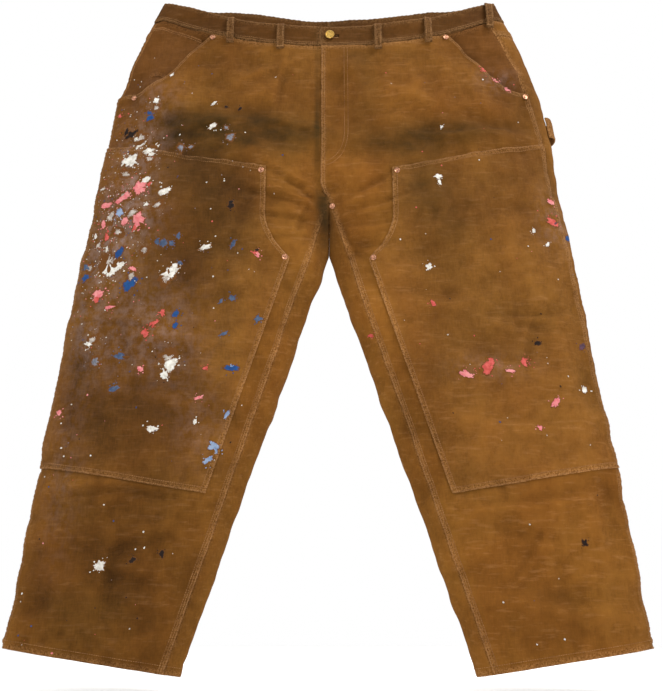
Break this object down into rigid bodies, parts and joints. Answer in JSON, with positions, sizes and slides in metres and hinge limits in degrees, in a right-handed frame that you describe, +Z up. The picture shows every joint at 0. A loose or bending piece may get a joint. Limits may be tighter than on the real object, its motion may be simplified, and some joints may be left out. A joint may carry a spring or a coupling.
{
  "type": "work trousers",
  "caption": "Brown canvas double-front work trousers with pockets, belt loops, hammer loop and a zip fly closed by a brass button.",
  "frame": {"origin": "middle of the waist opening, a little below the top of the waistband's sides", "axes": "+Z up out of the waist opening, -Y out of the front, +X towards the wearer's left"},
  "size_m": [0.9396, 0.0885, 1.1545],
  "materials": {
    "canvas": "worn brown cotton duck with dried paint spots",
    "lining": "plain cotton pocketing",
    "zip_tape": "woven cotton tape",
    "brass": "satin brass",
    "copper": "worn copper-plated brass"
  },
  "bodies": {
    "trousers": {"front_panel_right": "canvas", "front_panel_left": "canvas", "back_panel_right": "canvas", "back_panel_left": "canvas", "back_yoke_right": "canvas", "back_yoke_left": "canvas", "double_front_right": "canvas", "double_front_left": "canvas", "waistband_right": "canvas", "waistband_left": "canvas", "waistband_underlap": "canvas", "fly_shield": "canvas", "pocket_facing_right": "canvas", "pocket_facing_left": "canvas", "watch_pocket": "canvas", "back_pocket_right": "canvas", "back_pocket_left": "canvas", "tool_pocket_left": "canvas", "hammer_loop": "canvas", "belt_loop_front_right_inner": "canvas", "belt_loop_front_right_outer": "canvas", "belt_loop_front_left_inner": "canvas", "belt_loop_front_left_outer": "canvas", "belt_loop_side_left": "canvas", "belt_loop_side_right": "canvas", "belt_loop_centre_back": "canvas", "pocket_bag_right": "lining", "pocket_bag_left": "lining", "zip_tape_right": "zip_tape", "zip_teeth_right": "brass", "zip_bottom_stop": "brass", "button_tack": "brass", "rivet_pocket_upper_right": "copper", "rivet_pocket_lower_right": "copper", "rivet_double_front_upper_right": "copper", "rivet_double_front_lower_right": "copper", "rivet_back_pocket_inner_right": "copper", "rivet_back_pocket_outer_right": "copper", "rivet_pocket_upper_left": "copper", "rivet_pocket_lower_left": "copper", "rivet_double_front_upper_left": "copper", "rivet_double_front_lower_left": "copper", "rivet_back_pocket_inner_left": "copper", "rivet_back_pocket_outer_left": "copper", "rivet_crotch": "copper"},
    "fly": {"fly_flap": "canvas", "fly_facing": "lining", "waistband_end": "canvas", "zip_tape_left": "zip_tape", "zip_teeth_left": "brass"},
    "slider": {"zip_slider": "brass"},
    "pull_tab": {"zip_pull_tab": "brass"},
    "button": {"waist_button": "brass"}
  },
  "joints": [
    {"name": "fly_open", "type": "hinge", "parent": "trousers", "child": "fly", "pos_m": [0, -0.031, -0.365], "axis": [0.1943, 0, 0.981], "range_deg": [0, 88], "deforming": ["waistband_end", "zip_tape_left", "zip_teeth_left"]},
    {"name": "zip_slide", "type": "slide", "parent": "trousers", "child": "slider", "axis": [0, 0, -1], "range_m": [0, 0.205]},
    {"name": "pull_tab_flip", "type": "hinge", "parent": "slider", "child": "pull_tab", "pos_m": [0, -0.01825, -0.0805], "axis": [-1, 0, 0], "range_deg": [0, 20]},
    {"name": "button_spin", "type": "hinge", "parent": "trousers", "child": "button", "pos_m": [0.001, -0.027, -0.04], "axis": [0, -1, 0], "continuous": true}
  ],
  "couplings": [
    {"joint": "zip_slide", "follows": "fly_open", "m_per_rad": 0.13347}
  ]
}
